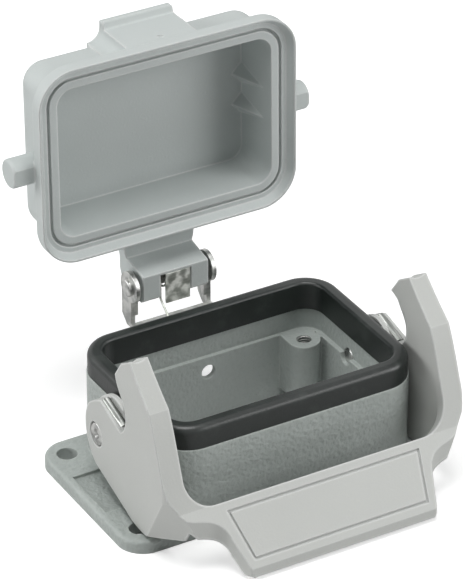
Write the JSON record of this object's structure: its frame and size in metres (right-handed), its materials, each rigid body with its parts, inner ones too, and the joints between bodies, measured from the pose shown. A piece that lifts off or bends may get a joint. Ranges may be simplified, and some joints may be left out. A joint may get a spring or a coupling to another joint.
{
  "type": "heavy duty rectangular connector housing",
  "caption": "Bulkhead housing of a heavy duty rectangular connector with a rubber rim seal, one hooked locking lever and a hinged protective cover, both open.",
  "frame": {"origin": "centre of the flange's underside, on the panel", "axes": "+Z away from the panel along the plugging direction, +X along the long side, +Y towards the hinge of the cover"},
  "size_m": [0.0798, 0.0897, 0.0854],
  "materials": {
    "cast_housing": "hammered grey paint over a light metal casting",
    "seal_rubber": "dark, dull",
    "panel_seal_rubber": "dark, dull",
    "cover_moulding": "light grey moulding, fine texture",
    "lever_moulding": "light grey moulding, satin",
    "bracket_steel": "stainless sheet, satin",
    "pin_steel": "turned steel, bright",
    "spring_steel": "spring steel, bright",
    "washer_plastic": "natural nylon"
  },
  "bodies": {
    "base": {"housing": "cast_housing", "rim_seal": "seal_rubber", "flange_seal": "panel_seal_rubber", "hinge_bracket": "bracket_steel", "bracket_screws": "pin_steel", "hinge_pin": "pin_steel", "hinge_spring": "spring_steel", "pivot_pin_left": "pin_steel", "pivot_pin_right": "pin_steel", "pivot_washer_left": "washer_plastic", "pivot_washer_right": "washer_plastic"},
    "cover_body": {"cover": "cover_moulding", "spring_leaf": "spring_steel"},
    "lever_body": {"locking_lever": "lever_moulding", "latch_pin_left": "pin_steel", "latch_pin_right": "pin_steel"}
  },
  "joints": [
    {"name": "cover_hinge", "type": "hinge", "parent": "base", "child": "cover_body", "pos_m": [0, 0.034, 0.0273], "axis": [1, 0, 0], "range_deg": [0, 91], "deforming": ["hinge_spring"]},
    {"name": "lever_pivot", "type": "hinge", "parent": "base", "child": "lever_body", "pos_m": [0, 0.003, 0.0153], "axis": [1, 0, 0], "range_deg": [-32.8, 0]}
  ]
}
